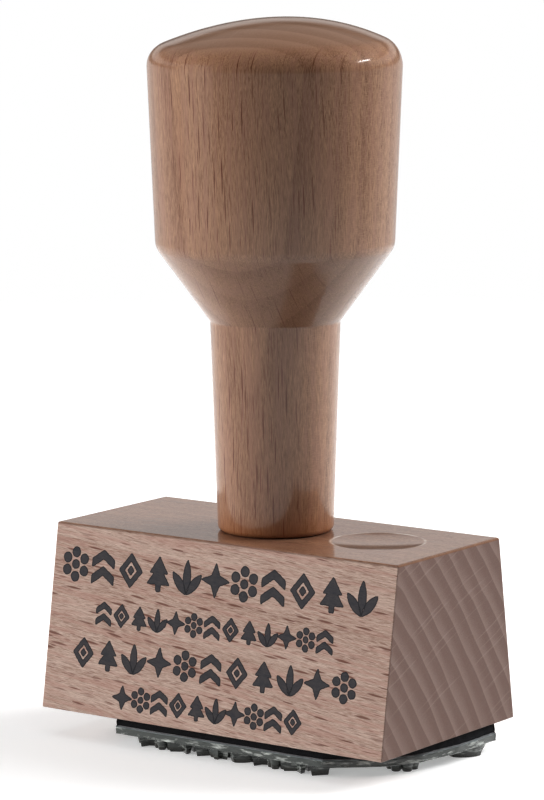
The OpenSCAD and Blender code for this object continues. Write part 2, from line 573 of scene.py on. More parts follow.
        # A blade's cross-section is a lens with pointed ends.
        away = add("VectorMath SUBTRACT", scaled, cells)
        away = add("VectorMath MULTIPLY", away, tuple(c / h for c, h in zip(rays.cell, rays.half)))
        part = add("SeparateXYZ", add("VectorMath ABSOLUTE", away))
        deep = add("Math POWER", part, 2.0)
        tall = add("Math POWER", part.node.outputs["Z"], 2.0)
        lens = add("Math ADD", add("Math ADD", deep, tall), part.node.outputs["Y"])
        shape = add("MapRange", lens, 1.15, 0.55, interpolation_type="SMOOTHSTEP")
        luck = add("SeparateXYZ", cells.node.outputs["Color"])
        return add("Math MULTIPLY", shape, add("MapRange", luck, rays.empty, rays.empty + 0.35))

    def paint_rim_highlight(self, paint: Paint) -> Socket:
        """Find where to paint a highlight: a thin pale line along a hollow's rim, in patches.

        Args:
            paint: The material in the making.

        Returns:
            How strong the painted highlight is.
        """
        add = paint.add
        x, y, radius = (part * MM for part in self.highlight_rim)
        flat = add("VectorMath MULTIPLY", paint.place, (1, 1, 0))
        away = add("VectorMath DISTANCE", flat, (x, y, 0), out="Value")
        off = add("Math ABSOLUTE", add("Math SUBTRACT", away, radius))
        line = add("MapRange", off, 0.30 * MM, 0.06 * MM)
        highlight_patches = add("TexNoise", paint.place, Scale=0.22 / MM)
        return add("Math MULTIPLY", line, add("MapRange", highlight_patches, 0.40, 0.60, 0.05, 0.65))

    def build(self) -> Material:
        """Make the material."""
        paint = Paint(self.name)
        add, lacquered = paint.add, self.surface is Surface.LACQUERED
        colour, relief = self.grain(paint)
        # Lacquer that ran over the top edge leaves a thin brown line on the bare side.
        span = (self.stain_z * MM, (self.stain_z + self.stain_span) * MM)
        span = span[::-1] if lacquered else span
        stained = add("MapRange", paint.height, *span, interpolation_type="SMOOTHSTEP")
        layers = [(add("Math MULTIPLY", stained, 0.55), self.stain)]
        # A painted highlight: a thin pale line along the finger rest's rim.
        if self.highlight_rim is not None:
            layers.append((self.paint_rim_highlight(paint), self.rim_highlight))
        looks = {
            "Base Color": paint.layered(colour, layers),
            "Roughness": add("Math MULTIPLY_ADD", relief, 0.18, 0.42),
            "Normal": paint.relief(relief, *((0.10, 0.03) if lacquered else (0.55, 0.05))),
            "IOR": 1.5,
        }
        coat = {"Coat Weight": 0.85, "Coat Roughness": self.haze, "Coat IOR": 1.5}
        return paint.finish({**looks, **coat} if lacquered else looks)


@dataclass(frozen=True)
class StampInk:
    """Oil-based stamp ink that dried on bare wood: matt, slate, darker at its squeezed rim."""

    wood: Beech
    name: str = "dried_stamp_ink"
    body: str = "#434348"
    rim: str = "#252529"
    thin: str = "#6e6562"
    roughness: float = 0.62

    def build(self) -> Material:
        """Make the material."""
        paint = Paint(self.name)
        add = paint.add
        relief = self.wood.grain(paint)[1]
        # Mottles of half a millimetre, where the ink lay thinner.
        mottle = add("TexNoise", paint.place, Scale=1.3 / MM, Detail=4.0, Roughness=0.65)
        mottle = add("MapRange", mottle, 0.42, 0.78)
        thin = add("Math MAXIMUM", mottle, add("MapRange", relief, 0.40, 0.72))
        edge = add("Attribute", out="Fac", attribute_name="rim")
        layers = [(add("Math MULTIPLY", thin, 0.5), self.thin), (add("Math MULTIPLY", edge, 0.75), self.rim)]
        looks = {"Base Color": paint.layered(self.body, layers), "Normal": paint.relief(relief, 0.4, 0.05)}
        return paint.finish({**looks, "Roughness": self.roughness})


@dataclass(frozen=True)
class Photopolymer:
    """Cured photopolymer: rubbery, grey and cloudy, wet-looking, stained where it takes ink."""

    name: str = "cured_photopolymer"
    cloudy: str = "#565b58"
    # Colour of the pale streaks: partly milky polymer, partly painted highlight.
    milky_and_highlight: str = "#dfe3de"
    inked: str = "#2b2921"
    # Height over the printing plane up to which old ink clings.
    inked_z: float = 0.55

    def build(self) -> Material:
        """Make the material."""
        paint = Paint(self.name)
        add = paint.add
        # Pale clouds of a few millimetres, drawn out along the sheet, are partly the polymer's own milkiness
        # and partly painted highlight streaks. The knife drags over the cut sides, and the washed-out floor
        # stays a little wavy.
        cloud_and_highlight, drag = (
            add("TexNoise", add("Mapping", paint.place, Scale=scale), Scale=1.0, Detail=detail, Roughness=rough)
            for scale, detail, rough in (
                ((0.35 / MM, 0.35 / MM, 1.6 / MM), 4.0, 0.6),
                ((0.6 / MM, 0.6 / MM, 2.2 / MM), 2.5, 0.5),
            )
        )
        blotch = add("TexNoise", paint.place, Scale=0.6 / MM, Detail=1.0)
        height = add("Math MULTIPLY_ADD", blotch, -0.9 * MM, paint.height)
        span = (self.inked_z * MM, -0.25 * MM)
        stained = add("MapRange", height, *span, interpolation_type="SMOOTHSTEP")
        layers = [(add("MapRange", cloud_and_highlight, 0.52, 0.68), self.milky_and_highlight), (stained, self.inked)]
        looks = {"Base Color": paint.layered(self.cloudy, layers), "Normal": paint.relief(drag, 0.7, 0.4)}
        wet = {"Roughness": 0.16, "IOR": 1.5, "Coat Weight": 0.8, "Coat Roughness": 0.08}
        return paint.finish({**looks, **wet})


@dataclass(frozen=True)
class PlainFinish:
    """A finish whose detail is one fine noise: foam cells, tape, film or plated steel."""

    name: str
    low: str
    high: str
    # Size of a grain of the noise, and how far it lifts the surface, in millimetres.
    grain: float
    lift: float
    roughness: float
    metallic: float = 0.0
    coat: float = 0.0

    def build(self) -> Material:
        """Make the material."""
        paint = Paint(self.name)
        speck = paint.add("TexNoise", paint.place, Scale=1 / (self.grain * MM), Detail=3.0, Roughness=0.6)
        spread = paint.add("MapRange", speck, 0.35, 0.7)
        looks = {
            "Base Color": paint.layered(self.low, [(spread, self.high)]),
            "Normal": paint.relief(speck, 0.8, self.lift),
            "Roughness": paint.add("Math MULTIPLY_ADD", speck, 0.2, self.roughness - 0.1),
        }
        return paint.finish({**looks, "Metallic": self.metallic, "Coat Weight": self.coat})


# Closed-cell polyethylene foam, cut with a knife: matt black, with cells of a sixth of a millimetre.
FOAM = PlainFinish("cut_black_foam", "#0f0f11", "#2c2c30", 0.16, 0.10, 0.85)
# Acrylic adhesive film: thin, greyish, a little shiny.
TAPE = PlainFinish("acrylic_tape", "#77777a", "#8f8f90", 0.5, 0.01, 0.4)
# Polyester film over grey glue: smooth and shiny.
FILM = PlainFinish("polyester_film", "#6b7274", "#868d8f", 1.5, 0.01, 0.18, coat=0.5)
# Zinc-plated steel, bright with a fine satin from the barrel.
STEEL = PlainFinish("zinc_plated_steel", "#9a9da0", "#c3c6c9", 0.3, 0.01, 0.32, metallic=1.0)


# Pieces


def place_piece(name: str, mesh: Mesh, body: Body, slot: Slot | None, replaced: str | None) -> bpy.types.Object:
    """Put a finished mesh on its body.

    Args:
        name: The piece's name.
        mesh: Its mesh, in place, in metres.
        body: The body that it rides on.
        slot: The record's slot of its finish, if it has one; not used.
        replaced: The node that it stands for, if there is one.

    Returns:
        The piece.
    """
    piece = new_object(name, mesh)
    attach(piece, body.value)
    if replaced is not None:
        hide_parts(replaced)
    log.info("%s: %d faces on %s", name, len(mesh.polygons), body.value)
    return piece


def lathe_shape() -> NodeShape:
    """Make the tree that turns a profile round Z.

    Returns:
        The tree. Its geometry input is a chain of points in the XZ plane.
    """
    shape = NodeShape("lathe")
    add = shape.add
    steps, rings = shape.ask("Segments", "Int"), shape.ask("Profile points", "Int")
    material = shape.ask("Material", "Material")
    columns, last = add("Math ADD", steps, 1.0), add("Math SUBTRACT", rings, 1.0)
    grid = add("MeshGrid", Size_X=1.0, Size_Y=1.0, Vertices_X=columns, Vertices_Y=rings)
    here = add("InputPosition")
    spot = add("SeparateXYZ", here)
    angle = add("Math MULTIPLY", add("Math ADD", spot, 0.5), math.tau)
    number = add("Math MULTIPLY", add("Math ADD", spot.node.outputs["Y"], 0.5), last)
    number = add("Math ROUND", number)
    taken = add("SampleIndex", data_type="FLOAT_VECTOR", Geometry=shape.geometry, Value=here, Index=number)
    turned = add("VectorRotate", rotation_type="Z_AXIS", Vector=taken, Angle=angle)
    bent = add("SetPosition", Geometry=grid, Position=turned)
    shape.end(add("MergeByDistance", Geometry=bent, Distance=1e-7), material)
    return shape


def turned_mesh(profile: list[Point2], segments: int, material: Material | None) -> Mesh:
    """Turn a profile round Z.

    Args:
        profile: Radius and height of its points in millimetres, from axis to axis.
        segments: Faces round the axis.
        material: The material of every face.

    Returns:
        The closed mesh, in metres, with its faces outwards.
    """
    chain = bpy.data.meshes.new("profile")
    points = [(r * MM, 0, z * MM) for r, z in profile]
    chain.from_pydata(points, [(i, i + 1) for i in range(len(points) - 1)], [])
    values = {"Segments": segments, "Profile points": len(points), "Material": material}
    mesh = lathe_shape().make(chain, values)
    shape = shape_of(mesh)
    bmesh.ops.recalc_face_normals(shape, faces=shape.faces)
    return settle(shape, mesh)


@dataclass
class TurnedHandle:
    """The lacquered handle: shank, flare, tapering grip and domed top, turned in one piece."""

    foot_r: float = 8.36
    neck: Point2 = (9.35, 30.45)
    grip_low: Point2 = (17.13, 41.15)
    grip_top_r: float = 18.3
    shoulder_drop: float = 4.5
    dome_r: float = 40.0
    shoulder_r: float = 4.0
    foot_round: float = 0.9
    neck_round: float = 0.8
    grip_round: float = 3.0
    pilot_r: float = 1.65
    pilot_depth: float = 19.6
    segments: int = 192
    # The dome was sanded by hand. From this far below the shoulder it rises a little towards one
    # side, by this much per millimetre of X and Y, and it lost some height all over.
    lean: Point2 = (0.034, 0.025)
    lean_below: float = 1.5
    sanded_off: float = 0.04

    def profile(self, height: float) -> list[Point2]:
        """Radius and height of the turned outline, from the pilot hole's end to the top.

        Args:
            height: The handle's height in millimetres.

        Returns:
            The outline's points, the foot at height 0.
        """
        foot, neck, low = (self.foot_r, 0.0), self.neck, self.grip_low
        top = (self.grip_top_r, height - self.shoulder_drop)
        slope = (top[0] - low[0]) / (top[1] - low[1])
        # The shoulder's arc touches the grip's side and the dome.
        axis_r = low[0] - slope * low[1] - self.shoulder_r / math.cos(math.atan(slope))
        dome_z = height - self.dome_r
        a, b = 1 + slope**2, 2 * (slope * axis_r - dome_z)
        c = axis_r**2 + dome_z**2 - (self.dome_r - self.shoulder_r) ** 2
        centre_z = (-b + math.sqrt(b * b - 4 * a * c)) / (2 * a)
        centre = (axis_r + slope * centre_z, centre_z)
        side = -math.degrees(math.atan(slope))
        meet = math.degrees(math.atan2(centre_z - dome_z, centre[0]))
        return [
            *((0, self.pilot_depth), (self.pilot_r, self.pilot_depth), (self.pilot_r, 0)),
            *rounded((0, 0), foot, neck, self.foot_round),
            *rounded(foot, neck, low, self.neck_round),
            *rounded(neck, low, top, self.grip_round),
            *arc(centre, self.shoulder_r, side, meet, 14),
            *arc((0, dome_z), self.dome_r, meet, 90, 24)[1:-1],
            (0, height),
        ]

    def build(self) -> None:
        """Turn the handle and dress it."""
        low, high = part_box("handle")
        foot_z = low.z / MM
        wood = Beech(
            name="lacquered_turned_beech",
            surface=Surface.LACQUERED,
            fibre=(0.0, 0.0, 1.0),
            outward=(0.12, -0.99, 0.0),
            start=(37.0, 11.0, 5.0),
            light="#be977a", dark="#7f5a44", ray="#652a14", blush="#a87f6c",
            end="#866349", end_pale="#997760",
            rays=Rays((12.0, 0.95, 7.5), (6.0, 0.10, 3.1), 0.25),
            small_rays=Rays((6.0, 0.5, 3.6), (3.0, 0.06, 1.5), 0.3),
            banding=0.22, streaking=3.0, haze=0.14, pith_distance=90.0,
            stain_z=foot_z - 0.5, stain_span=5.0, stain="#a0622f",
        )
        profile = [(r, z + foot_z) for r, z in self.profile((high.z - low.z) / MM)]
        mesh = turned_mesh(profile, self.segments, wood.build())
        side_end = high.z - (self.shoulder_drop + self.lean_below) * MM
        for vert in mesh.vertices:
            share = max(0.0, vert.co.z - side_end) / (high.z - side_end)
            tip = vert.co.x * self.lean[0] + vert.co.y * self.lean[1]
            vert.co.z = min(high.z, vert.co.z + share * (tip - self.sanded_off * MM))
        shade(mesh, 50)
        place_piece("turned_handle", mesh, Body.STAMP, Slot.HANDLE, "handle")


@dataclass
class WoodScrew:
    """The countersunk wood screw that holds the handle from below."""

    head_r: float = 4.75
    head_rim: float = 0.3
    plain_r: float = 1.9
    core_r: float = 1.65
    thread_r: float = 2.5
    thread_start: float = 21.0
    thread_pitch: float = 2.2
    thread_turns: float = 9.0
    # How far out of the core the thread's middle runs.
    ridge: float = 0.25
    # Span, width and depth of each slot of the cross.
    cross: Point3 = (4.6, 1.3, 1.9)

    def profile(self, length: float) -> list[Point2]:
        """The screw's outline without its thread, from the head's face to the tip."""
        head, plain, core, start = self.head_r, self.plain_r, self.core_r, self.thread_start
        return [
            *((0, 0), (head - 0.1, 0), (head, 0.1), (head, self.head_rim)),
            *((plain, self.head_rim + head - plain), (plain, start - 1), (core, start)),
            *((core, start + self.thread_pitch * self.thread_turns), (0, length)),
        ]

    def thread(self, base_z: float, material: Material) -> Mesh:
        """Wind the thread as one ridge along a helix.

        Args:
            base_z: Height of the screw's head face, in millimetres.
            material: The screw's material.

        Returns:
            The ridge, in metres.
        """
        shape = NodeShape("thread")
        add = shape.add
        turns, radius, height, flank = (shape.ask(n, "Float") for n in ("Turns", "Radius", "Height", "Flank"))
        dress = shape.ask("Material", "Material")
        helix = add(
            "CurveSpiral", Resolution=40, Rotations=turns, Start_Radius=radius, End_Radius=radius, Height=height
        )
        tooth = add("CurvePrimitiveCircle", mode="RADIUS", Resolution=3, Radius=flank)
        shape.end(add("CurveToMesh", Curve=helix, Profile_Curve=tooth, Fill_Caps=True), dress)
        values = {
            "Turns": self.thread_turns,
            "Radius": (self.core_r + self.ridge) * MM,
            "Height": self.thread_pitch * self.thread_turns * MM,
            "Flank": (self.thread_r - self.core_r - self.ridge) * MM,
            "Material": material,
        }
        mesh = shape.make(bpy.data.meshes.new("thread"), values)
        mesh.transform(Matrix.Translation((0, 0, (base_z + self.thread_start) * MM)))
        return mesh

    def build(self) -> None:
        """Make the screw and dress it."""
        low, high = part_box("handle_screw")
        base_z = low.z / MM
        steel = STEEL.build()
        profile = [(r, z + base_z) for r, z in self.profile((high.z - low.z) / MM)]
        body = turned_mesh(profile, 48, steel)
        tools = []
        span, width, depth = self.cross
        for turn in (0, 90):
            shape = bmesh.new()
            bmesh.ops.create_cube(shape, size=1)
            bmesh.ops.scale(shape, vec=(span, width, depth * 2), verts=shape.verts)
            spun = Matrix.Translation((0, 0, base_z)) @ Matrix.Rotation(math.radians(turn), 4, "Z")
            bmesh.ops.transform(shape, matrix=spun, verts=shape.verts)
            tools.append(mesh_from(shape, "cross"))
        body = cut(body, tools)
        settle(shape_of(body, self.thread(base_z, steel)), body)
        shade(body, 30)
        place_piece("wood_screw", body, Body.STAMP, Slot.STEEL, "handle_screw")


@dataclass
class MountBlock:
    """The beech block: trapezoid in section, sawn ends, lacquered top with a finger rest."""

    top_d: float = 25.8
    end_bevel: float = 0.22
    edge_round: float = 0.2
    rest_centre: Point2 = (17.4, 0.6)
    rest_r: float = 6.75
    rest_depth: float = 0.28
    rest_round: float = 2.0
    bore_r: float = 2.6
    seat_r: float = 4.8
    seat_z: float = 0.9
    # How deep below the top, and on how flat a face, the lacquer still lies.
    lacquer_depth: float = 0.7
    lacquer_slant: float = 0.35

    def wood(self, surface: Surface, top_z: float) -> Beech:
        """Describe the block's beech.

        Args:
            surface: Bare sides or lacquered top.
            top_z: Height of the block's top, in millimetres.

        Returns:
            The finish, with the same grain for both surfaces.
        """
        lacquered = surface is Surface.LACQUERED
        names = ("light", "dark", "ray", "blush", "end", "end_pale")
        under = ("#a8856e", "#735240", "#4b2f21", "#8d6858", "#85593c", "#93684a")
        bare = ("#dac5b9", "#987666", "#704233", "#bd968a", "#775e56", "#9a857d")
        return Beech(
            name=f"{surface.value}_block_beech",
            surface=surface,
            fibre=(0.996, 0.0, -0.087),
            outward=(0.032, 0.93, 0.367),
            start=(4.0, 23.0, 31.0),
            **dict(zip(names, under if lacquered else bare)),
            rays=Rays((12.0, 1.0, 4.4), (6.0, 0.16, 1.7), 0.2),
            small_rays=Rays((6.0, 0.45, 2.2), (3.0, 0.07, 0.85), 0.3),
            banding=0.12, streaking=2.7, ring_pitch=2.9,
            stain_z=-100.0 if lacquered else top_z - 0.45, stain_span=0.25, stain="#5f3a26",
            # The lacquered top gets a painted highlight along the finger rest's rim.
            highlight_rim=(*self.rest_centre, self.rest_r) if lacquered else None,
        )

    def body(self) -> Mesh:
        """Make the sawn and planed block without its holes."""
        low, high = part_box("mount_block")
        shape = bmesh.new()
        bmesh.ops.create_cube(shape, size=2)
        for vert in shape.verts:
            top = vert.co.z > 0
            vert.co.x *= high.x / MM
            vert.co.y *= self.top_d / 2 if top else high.y / MM
            vert.co.z = (high.z if top else low.z) / MM
        ends = [
            e
            for e in shape.edges
            if all(v.co.z > high.z / MM - 0.1 for v in e.verts) and abs(e.verts[0].co.x - e.verts[1].co.x) < 0.1
        ]
        for geom, offset, segments in ((ends, self.end_bevel, 1), (None, self.edge_round, 3)):
            geom = list(shape.edges) if geom is None else geom
            how = {"offset": offset, "segments": segments, "profile": 0.5}
            bmesh.ops.bevel(shape, geom=geom, affect="EDGES", clamp_overlap=True, **how)
        return mesh_from(shape, "block")

    def rest_tool(self, top_z: float) -> Mesh:
        """Make the cutter of the finger rest: a shallow dish with a softened rim."""
        rim = self.rest_r
        ball_r = (rim**2 + self.rest_depth**2) / (2 * self.rest_depth)
        edge = math.degrees(math.asin(rim / ball_r))
        bowl = arc((0, ball_r - self.rest_depth), ball_r, -90, -90 + edge, 28)
        lip = rounded(bowl[-2], (rim, 0.0), (rim + 1.0, 0.0), self.rest_round, 6)
        outline = [(max(0.0, r), z) for r, z in [*bowl[:-2], *lip]]
        mesh = turned_mesh([*outline, (lip[-1][0], 0.5), (0, 0.5)], 96, None)
        x, y = self.rest_centre
        mesh.transform(Matrix.Translation((x * MM, y * MM, top_z * MM)))
        return mesh

    def bore_tool(self, low_z: float, top_z: float) -> Mesh:
        """Make the cutter of the countersunk screw hole."""
        seat, bore, seat_end = self.seat_r, self.bore_r, low_z + self.seat_z
        cone = [(seat, low_z - 1), (seat, seat_end), (bore, seat_end + seat - bore), (bore, top_z + 1)]
        return turned_mesh([(0, low_z - 1), *cone, (0, top_z + 1)], 48, None)

    def build(self) -> Beech:
        """Make the block and dress it, and return the bare wood that the print lies on."""
        low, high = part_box("mount_block")
        top_z = high.z / MM
        mesh = cut(self.body(), [self.rest_tool(top_z), self.bore_tool(low.z / MM, top_z)])
        bare = self.wood(Surface.SANDED, top_z)
        mesh.materials.clear()
        for wood in (bare, self.wood(Surface.LACQUERED, top_z)):
            mesh.materials.append(wood.build())
        lacquer_z = high.z - self.lacquer_depth * MM
        for face in mesh.polygons:
            outside = math.hypot(face.center.x, face.center.y) > (self.bore_r + 0.1) * MM
            flat = face.center.z > lacquer_z and face.normal.z > self.lacquer_slant
            face.material_index = int(flat and outside)
        shade(mesh, 35)
        place_piece("beech_block", weigh(mesh), Body.STAMP, Slot.BLOCK, "mount_block")
        return bare


@dataclass(frozen=True)
class MarkRow:
    """One row of ornaments: its centre, their height and spacing in millimetres, and their order."""

    x: float
    y: float
    height: float
    spacing: float
    count: int
    first: Ornament


# The lines from the top of the print: their marks' height, spacing and count, and the first one.
LINES = (
    (5.0, 5.05, 11, Ornament.ROSETTE),
    (3.4, 3.25, 13, Ornament.CHEVRONS),
    (4.4, 4.6, 11, Ornament.FRAMED_DIAMOND),
    (3.6, 3.35, 10, Ornament.STAR),
)


def placed(*centres: Point2) -> tuple[MarkRow, ...]:
    """Put the print's lines at their centres, from the top line down."""
    return tuple(MarkRow(x, y, *line) for (x, y), line in zip(centres, LINES))


@dataclass
class OrnamentSet:
    """The six ornaments as unit outlines, and the rows that are made of them."""

    # Steps from one ornament of a row to the next in the order of Ornament.
    step: int = 5
    # How far the ink's edge strays.
    wobble: float = 0.22
    # Depth of the raised marks, and how far their flanks spread per unit of the mark's height
    # against how deep they have gone, in millimetres.
    depth: float = 1.5
    flare: tuple[Point2, ...] = ((0.0, 0.0), (0.012, 0.12), (0.03, 0.55), (0.06, 1.05), (0.105, 1.56))

    def loops(self, kind: Ornament) -> list[list[Point2]]:
        """Give an ornament's closed outlines.

        Args:
            kind: Which ornament.

        Returns:
            Its outlines, 1 high and centred: a filled shape, then any hole in it.
        """
        if kind is Ornament.FRAMED_DIAMOND:
            rim = [(0, -0.5), (0.42, 0), (0, 0.5), (-0.42, 0)]
            return [rim, *[[(x * share, y * share) for x, y in rim] for share in (0.56, 0.28)]]
        if kind is Ornament.CHEVRONS:
            low = [(-0.4, 0), (0, 0.27), (0.4, 0), (0.4, 0.25), (0, 0.52), (-0.4, 0.25)]
            return [[(x, y + lift) for x, y in low] for lift in (-0.5, -0.02)]
        if kind is Ornament.ROSETTE:
            turns = [math.radians(60 * i) for i in range(6)]
            petals = [((0.355 * math.sin(a), 0.355 * math.cos(a)), 0.145) for a in turns]
            return [arc(centre, r, 0, 360, 16)[:-1] for centre, r in [((0, 0), 0.13), *petals]]
        if kind is Ornament.STAR:
            tips = [(0.5 if i % 2 == 0 else 0.2, math.radians(45 * i)) for i in range(8)]
            return [[(r * math.sin(a), r * math.cos(a)) for r, a in tips]]
        if kind is Ornament.SPRIG:
            return [self.leaf(1.0, 0), self.leaf(0.8, 40), self.leaf(0.8, -40)]
        half = [(0.08, -0.5), (0.08, -0.3), (0.4, -0.3), (0.17, 0.02), (0.32, 0.02)]
        return [[*half, (0, 0.5), *[(-x, y) for x, y in reversed(half)]]]

    def leaf(self, length: float, lean: float) -> list[Point2]:
        """Outline of a leaf that stands on the ornament's foot.

        Args:
            length: The leaf's length.
            lean: How far it leans to the left, in degrees.

        Returns:
            Its closed outline.
        """
        width = 0.13
        side = (length**2 / 4 + width**2) / (2 * width)
        half = math.degrees(math.asin(length / 2 / side))
        right = arc((width - side, length / 2), side, -half, half, 10)
        left = arc((side - width, length / 2), side, 180 - half, 180 + half, 10)
        cos, sin = math.cos(math.radians(lean)), math.sin(math.radians(lean))
        return [(x * cos - y * sin, x * sin + y * cos - 0.5) for x, y in right[:-1] + left[:-1]]

    def outline_mesh(self, kind: Ornament, pitch: float = 0.05) -> Mesh:
        """Make an ornament as bare outlines, for a print.

        Args:
            kind: Which ornament.
            pitch: How far its points may lie apart.

        Returns:
            The outlines, 1 high.
        """
        shape = bmesh.new()
        for loop in self.loops(kind):
            points = []
            for here, there in zip(loop, loop[1:] + loop[:1]):
                steps = max(1, math.ceil(math.dist(here, there) / pitch))
                way = (there[0] - here[0], there[1] - here[1])
                points += [(here[0] + way[0] * i / steps, here[1] + way[1] * i / steps) for i in range(steps)]
            verts = [shape.verts.new((x, y, 0)) for x, y in points]
            for pair in zip(verts, verts[1:] + verts[:1]):
                shape.edges.new(pair)
        return settle(shape, kind.name)

    def spread(self, loop: list[Point2], out: float) -> list[Point2]:
        """Move a loop's sides outwards, keeping its corners sharp up to a limit.

        Args:
            loop: The closed loop, counter-clockwise for a filled shape.
            out: How far its sides move; negative moves them in.

        Returns:
            The moved loop, with as many points.
        """
        moved = []
        for i, here in enumerate(loop):
            before, after = Vector(loop[i - 1]), Vector(loop[(i + 1) % len(loop)])
            one = (Vector(here) - before).normalized()
            two = (after - Vector(here)).normalized()
            side = (Vector((one.y, -one.x)) + Vector((two.y, -two.x))).normalized()
            reach = 1 / max(0.6, math.sqrt(max(0.0, (1 + one.dot(two)) / 2)))
            moved.append(tuple(Vector(here) + side * out * reach))
        return moved

    def raised_mesh(self, kind: Ornament) -> Mesh:
        """Make an ornament as raised marks with flared flanks, its printing face at height 0."""
        shape = bmesh.new()
        loops = self.loops(kind)
        hole = 1 if kind is Ornament.FRAMED_DIAMOND else None
        for number, loop in enumerate(loops):
            if number == hole:
                continue
            group = [self.ordered(loop, False)]
            if number == 0 and hole is not None:
                group.append(self.ordered(loops[hole], True))
            chains = [
                [[shape.verts.new((x, y, z)) for x, y in self.spread(one, out)] for out, z in self.flare]
                for one in group
            ]
            for chain in chains:
                wall(shape, chain)
            for end in (0, -1):
                caps = [chain[end] for chain in chains]
                flat = [v for cap in caps for v in cap]
                for tri in tessellate_polygon([[v.co for v in cap] for cap in caps]):
                    shape.faces.new([flat[i] for i in tri])
        bmesh.ops.recalc_face_normals(shape, faces=shape.faces)
        return settle(shape, kind.name)

    def ordered(self, loop: list[Point2], clockwise: bool) -> list[Point2]:
        """Give a loop the wanted sense, which decides what is its outside."""
        area = sum(a[0] * b[1] - b[0] * a[1] for a, b in zip(loop, loop[1:] + loop[:1]))
        return loop if (area < 0) == clockwise else loop[::-1]

    def rows_shape(self, form: MarkForm) -> NodeShape:
        """Make the tree that sets out one row of ornaments.

        Args:
            form: Printed or raised marks.

        Returns:
            The tree. Everything in it is in millimetres.
        """
        shape = NodeShape(f"{form.value}_row")
        add = shape.add
        pool, material = shape.ask("Ornaments", "Collection"), shape.ask("Material", "Material")
        count, first, step = (shape.ask(name, "Int") for name in ("Count", "First", "Step"))
        start, offset, scale = (shape.ask(name, "Vector") for name in ("Start", "Offset", "Scale"))
        wobble, seed = shape.ask("Wobble", "Float"), shape.ask("Seed", "Float")
        line = add("MeshLine", mode="OFFSET", Count=count, Start_Location=start, Offset=offset)
        six = add("CollectionInfo", Collection=pool, Separate_Children=True, Reset_Children=True)
        number = add("Math MULTIPLY_ADD", add("InputIndex"), step, first)
        number = add("Math MODULO", number, float(len(Ornament)))
        pick = {"Pick_Instance": True, "Instance_Index": number}
        marks = add("RealizeInstances", add("InstanceOnPoints", Points=line, Instance=six, Scale=scale, **pick))
        if form is MarkForm.INKED:
            marks = self.ink(shape, marks, wobble, seed)
        shape.end(marks, material)
        return shape

    def ink(self, shape: NodeShape, outlines: Socket, wobble: Socket, seed: Socket) -> Socket:
        """Fill outlines with ink: soft corners, an uneven edge and a squeezed rim.

        Args:
            shape: The tree to add to.
            outlines: Closed edge loops.
            wobble: How far the ink's edge strays.
            seed: Makes each row's edge its own.

        Returns:
            The ink, with an attribute rim that is 1 along its edge.
        """
        add = shape.add
        curves = add("MeshToCurve", Mesh=outlines)
        curves = add("ResampleCurve", mode="LENGTH", Curve=curves, Length=0.09)
        spot = add("InputPosition")
        soft = add("BlurAttribute", data_type="FLOAT_VECTOR", Value=spot, Iterations=3)
        jitter = add("TexNoise", noise_dimensions="4D", out="Color", Vector=spot, W=seed, Scale=2.2)
        jitter = add("VectorMath SUBTRACT", jitter, (0.5, 0.5, 0.5))
        jitter = add("VectorMath SCALE", jitter, Scale=wobble)
        jitter = add("VectorMath MULTIPLY", jitter, (1, 1, 0))
        curves = add("SetPosition", Geometry=curves, Position=soft, Offset=jitter)
        fill = add("FillCurve", mode="TRIANGLES", Curve=curves)
        bead = add("CurvePrimitiveCircle", mode="RADIUS", Resolution=6, Radius=0.085)
        bead = add("Transform", Geometry=bead, Scale=(1.0, 0.22, 1.0))
        rim = add("CurveToMesh", Curve=curves, Profile_Curve=bead)
        rim = add("StoreNamedAttribute", data_type="FLOAT", domain="POINT", Geometry=rim, Name="rim", Value=1.0)
        top = add("ExtrudeMesh", Mesh=fill, Offset_Scale=0.012, Individual=False)
        slab = add("JoinGeometry", Geometry=[top, add("FlipFaces", Mesh=fill)])
        slab = add("MergeByDistance", Geometry=slab, Distance=0.001)
        return add("JoinGeometry", Geometry=[slab, rim])

    def rows(self, rows: tuple[MarkRow, ...], form: MarkForm, material: Material) -> Mesh:
        """Make several rows of ornaments as one mesh.

        Args:
            rows: The rows, in the plane of the marks.
            form: Printed or raised marks.
            material: Their material.

        Returns:
            The marks, in millimetres.
        """
        pool = bpy.data.collections.new(f"{form.value}_ornaments")
        bpy.context.scene.collection.children.link(pool)
        for kind in Ornament:
            mesh = self.outline_mesh(kind) if form is MarkForm.INKED else self.raised_mesh(kind)
            pool.objects.link(bpy.data.objects.new(f"{kind.value}_{kind.name}", mesh))
        joined = bmesh.new()
        for number, row in enumerate(rows):
            values = {
                "Ornaments": pool,
                "Count": row.count,
                "Start": (row.x - (row.count - 1) / 2 * row.spacing, row.y, 0.0),
                "Offset": (row.spacing, 0.0, 0.0),
                "First": row.first.value,
                "Step": self.step,
                "Scale": (row.height, row.height, 1.0),
                "Wobble": self.wobble,
                "Seed": float(number),
                "Material": material,
            }
            joined.from_mesh(self.rows_shape(form).make(bpy.data.meshes.new("row"), values))
        for thing in list(pool.objects):
            bpy.data.objects.remove(thing)
        bpy.data.collections.remove(pool)
        mesh = settle(joined, "marks")
        mesh.materials.append(material)
        return mesh


